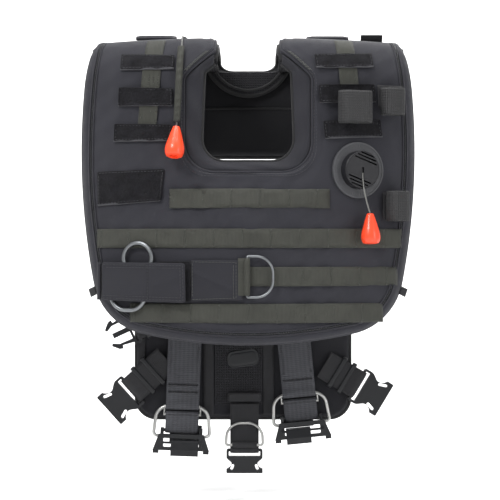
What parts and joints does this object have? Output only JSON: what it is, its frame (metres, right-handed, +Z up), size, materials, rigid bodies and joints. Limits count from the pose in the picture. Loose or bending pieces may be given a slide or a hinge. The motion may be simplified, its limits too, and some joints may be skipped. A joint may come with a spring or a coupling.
{
  "type": "buoyancy compensator vest",
  "caption": "Over-the-head buoyancy vest: inflatable front panel with load webbing, dump valves with pull toggles, padded yoke, lower pad, thigh straps and release buckles.",
  "frame": {"origin": "middle of the top of the shoulders, where the vest hangs on the wearer", "axes": "+Z up, +X to the viewer's right seen from the front, the front of the vest faces -Y"},
  "size_m": [0.448, 0.2597, 0.6025],
  "materials": {
    "cordura": "matte coated nylon weave",
    "lining": "matte mesh and nylon",
    "bladder": "welded film",
    "olive_webbing": "matte webbing",
    "grey_webbing": "ribbed nylon webbing",
    "black_webbing": "matte webbing",
    "loop_pile": "fuzzy loop pile",
    "elastic": "ribbed elastic",
    "pad_fabric": "matte padded nylon",
    "black_plastic": "moulded acetal",
    "valve_plastic": "satin moulded plastic",
    "orange_plastic": "semi-gloss moulded plastic",
    "steel": "polished stainless wire",
    "dark_steel": "satin grey wire",
    "cord": "thin braided cord"
  },
  "bodies": {
    "back": {"yoke_lining": "lining", "yoke_padding": "pad_fabric", "yoke_cover": "cordura", "collar": "lining", "cord_sleeve_back": "cordura", "harness_webbing": "black_webbing", "strap_sliders": "black_plastic", "lower_pad": "pad_fabric", "pad_facing": "pad_fabric", "rear_valve_body": "black_plastic", "rear_valve_cap": "valve_plastic"},
    "rear_poppet": {"rear_valve_poppet": "black_plastic"},
    "front": {"front_lining": "lining", "air_cell": "bladder", "side_gusset": "cordura", "zip_chain": "black_plastic", "front_cover": "cordura", "neck_facing": "cordura", "pals_rows": "olive_webbing", "cover_webbing": "olive_webbing", "loop_strips": "loop_pile", "id_patch": "loop_pile", "hose_loops": "elastic", "cord_sleeve": "cordura", "front_valve_body": "black_plastic", "front_valve_cap": "valve_plastic", "front_valve_spring": "steel", "closure_base": "loop_pile"},
    "front_poppet": {"front_valve_poppet": "black_plastic"},
    "toggle_left": {"toggle_left": "orange_plastic", "toggle_cord_left": "cord"},
    "toggle_right": {"toggle_right": "orange_plastic", "toggle_cord_right": "cord"},
    "upper_ring": {"keeper_ring_upper": "dark_steel"},
    "lower_ring": {"keeper_ring_lower": "dark_steel"},
    "cover_flap": {"cover_flap": "cordura"},
    "pull_flap": {"pull_flap": "cordura"},
    "pull_ring": {"pull_ring": "dark_steel"},
    "shoulder_flap_left": {"shoulder_flap_left": "cordura"},
    "shoulder_flap_right": {"shoulder_flap_right": "cordura"},
    "crotch": {"crotch_strap": "black_webbing"},
    "crotch_ring": {"crotch_ring": "steel"},
    "crotch_buckle": {"crotch_buckle": "black_plastic"},
    "thigh_left": {"thigh_strap_left": "grey_webbing"},
    "d_ring_left": {"d_ring_left": "steel"},
    "buckle_left": {"buckle_loop_left": "grey_webbing", "buckle_frame_left": "black_plastic"},
    "lever_left": {"buckle_lever_left": "black_plastic"},
    "thigh_right": {"thigh_strap_right": "grey_webbing"},
    "d_ring_right": {"d_ring_right": "steel"},
    "buckle_right": {"buckle_loop_right": "grey_webbing", "buckle_frame_right": "black_plastic"},
    "lever_right": {"buckle_lever_right": "black_plastic"},
    "side_left": {"side_left_strap": "black_webbing"},
    "side_left_buckle": {"side_left_buckle": "black_plastic"},
    "side_right": {"side_right_strap": "black_webbing"},
    "side_right_buckle": {"side_right_buckle": "black_plastic"},
    "waist_left": {"waist_left_strap": "black_webbing"},
    "waist_left_buckle": {"waist_left_buckle": "black_plastic"}
  },
  "joints": [
    {"name": "shoulder_fold", "type": "hinge", "parent": "back", "child": "front", "pos_m": [0, -0.005, 0.008], "axis": [-1, 0, 0], "range_deg": [0, 35]},
    {"name": "toggle_left_pull", "type": "slide", "parent": "front", "child": "toggle_left", "axis": [-0.0472, 0, -0.9989], "range_m": [0, 0.012], "stiffness_N_per_m": 200, "springref_m": -0.004},
    {"name": "rear_poppet_lift", "type": "slide", "parent": "back", "child": "rear_poppet", "axis": [-0.117, 0.9931, 0], "range_m": [0, 0.003]},
    {"name": "toggle_right_pull", "type": "slide", "parent": "front", "child": "toggle_right", "axis": [0, 0, -1], "range_m": [0, 0.012], "stiffness_N_per_m": 200, "springref_m": -0.004},
    {"name": "front_poppet_lift", "type": "slide", "parent": "front", "child": "front_poppet", "axis": [0.3817, -0.9243, 0], "range_m": [0, 0.003], "deforming": ["front_valve_spring"]},
    {"name": "upper_ring_swing", "type": "hinge", "parent": "front", "child": "upper_ring", "pos_m": [-0.1452, -0.10584, -0.31519], "axis": [0.9259, -0.3778, 0], "range_deg": [0, 7]},
    {"name": "lower_ring_swing", "type": "hinge", "parent": "front", "child": "lower_ring", "pos_m": [-0.158, -0.09977, -0.335], "axis": [-0.9113, 0.4117, 0], "range_deg": [0, 6]},
    {"name": "cover_flap_open", "type": "hinge", "parent": "front", "child": "cover_flap", "pos_m": [-0.1932, -0.09074, -0.325], "axis": [0, 0, -1], "range_deg": [0, 100]},
    {"name": "pull_flap_open", "type": "hinge", "parent": "front", "child": "pull_flap", "pos_m": [-0.0742, -0.12513, -0.324], "axis": [0, 0, -1], "range_deg": [0, 80]},
    {"name": "pull_ring_swing", "type": "hinge", "parent": "pull_flap", "child": "pull_ring", "pos_m": [-0.001, -0.1332, -0.319], "axis": [0, 0, -1], "range_deg": [0, 80]},
    {"name": "shoulder_flap_left_lift", "type": "hinge", "parent": "back", "child": "shoulder_flap_left", "pos_m": [-0.125, 0.025, 0.0016], "axis": [-1, 0, 0], "range_deg": [0, 60]},
    {"name": "shoulder_flap_right_lift", "type": "hinge", "parent": "back", "child": "shoulder_flap_right", "pos_m": [0.108, 0.025, 0.0016], "axis": [-1, 0, 0], "range_deg": [0, 60]},
    {"name": "thigh_left_swing", "type": "hinge", "parent": "back", "child": "thigh_left", "pos_m": [-0.087, 0.021, -0.397], "axis": [-0.9994, 0, 0.0349], "range_deg": [0, 55]},
    {"name": "d_ring_left_swing", "type": "hinge", "parent": "thigh_left", "child": "d_ring_left", "pos_m": [-0.09059, 0.021, -0.49994], "axis": [-0.9994, 0, 0.0349], "range_deg": [0, 40]},
    {"name": "buckle_left_swing", "type": "hinge", "parent": "d_ring_left", "child": "buckle_left", "pos_m": [-0.09098, 0.021, -0.51093], "axis": [-0.9994, 0, 0.0349], "range_deg": [0, 35]},
    {"name": "lever_left_open", "type": "hinge", "parent": "buckle_left", "child": "lever_left", "pos_m": [-0.09232, 0.01, -0.54941], "axis": [-0.9994, 0, 0.0349], "range_deg": [0, 55]},
    {"name": "thigh_right_swing", "type": "hinge", "parent": "back", "child": "thigh_right", "pos_m": [0.062, 0.021, -0.397], "axis": [-0.9954, 0, -0.0958], "range_deg": [0, 55]},
    {"name": "d_ring_right_swing", "type": "hinge", "parent": "thigh_right", "child": "d_ring_right", "pos_m": [0.07024, 0.021, -0.4826], "axis": [-0.9954, 0, -0.0958], "range_deg": [0, 40]},
    {"name": "buckle_right_swing", "type": "hinge", "parent": "d_ring_right", "child": "buckle_right", "pos_m": [0.0713, 0.021, -0.49355], "axis": [-0.9954, 0, -0.0958], "range_deg": [0, 35]},
    {"name": "lever_right_open", "type": "hinge", "parent": "buckle_right", "child": "lever_right", "pos_m": [0.07499, 0.01, -0.53188], "axis": [-0.9954, 0, -0.0958], "range_deg": [0, 55]},
    {"name": "crotch_swing", "type": "hinge", "parent": "back", "child": "crotch", "pos_m": [-0.005, 0.0234, -0.496], "axis": [-1, 0, 0], "range_deg": [0, 50]},
    {"name": "crotch_ring_flip", "type": "hinge", "parent": "crotch", "child": "crotch_ring", "pos_m": [-0.005, 0.0184, -0.553], "axis": [1, 0, 0], "range_deg": [0, 70]},
    {"name": "crotch_buckle_swing", "type": "hinge", "parent": "crotch", "child": "crotch_buckle", "pos_m": [-0.005, 0.0234, -0.5603], "axis": [-1, 0, 0], "range_deg": [0, 40]},
    {"name": "side_left_lift", "type": "hinge", "parent": "back", "child": "side_left", "pos_m": [-0.112, 0.0234, -0.434], "axis": [0, 1, 0], "range_deg": [0, 20]},
    {"name": "side_left_buckle_fold", "type": "hinge", "parent": "side_left", "child": "side_left_buckle", "pos_m": [-0.15978, 0.0234, -0.47703], "axis": [-0.6691, 0, 0.7431], "range_deg": [0, 60]},
    {"name": "side_right_lift", "type": "hinge", "parent": "back", "child": "side_right", "pos_m": [0.105, 0.0234, -0.442], "axis": [0, -1, 0], "range_deg": [0, 20]},
    {"name": "side_right_buckle_fold", "type": "hinge", "parent": "side_right", "child": "side_right_buckle", "pos_m": [0.15069, 0.0234, -0.46945], "axis": [-0.515, 0, -0.8572], "range_deg": [0, 60]},
    {"name": "waist_left_lift", "type": "hinge", "parent": "back", "child": "waist_left", "pos_m": [-0.124, 0.0234, -0.374], "axis": [0, 1, 0], "range_deg": [0, 20]},
    {"name": "waist_left_buckle_fold", "type": "hinge", "parent": "waist_left", "child": "waist_left_buckle", "pos_m": [-0.15509, 0.0234, -0.3885], "axis": [-0.4226, 0, 0.9063], "range_deg": [0, 45]}
  ],
  "couplings": [
    {"joint": "rear_poppet_lift", "follows": "toggle_left_pull", "ratio": 0.25},
    {"joint": "front_poppet_lift", "follows": "toggle_right_pull", "ratio": 0.25}
  ]
}
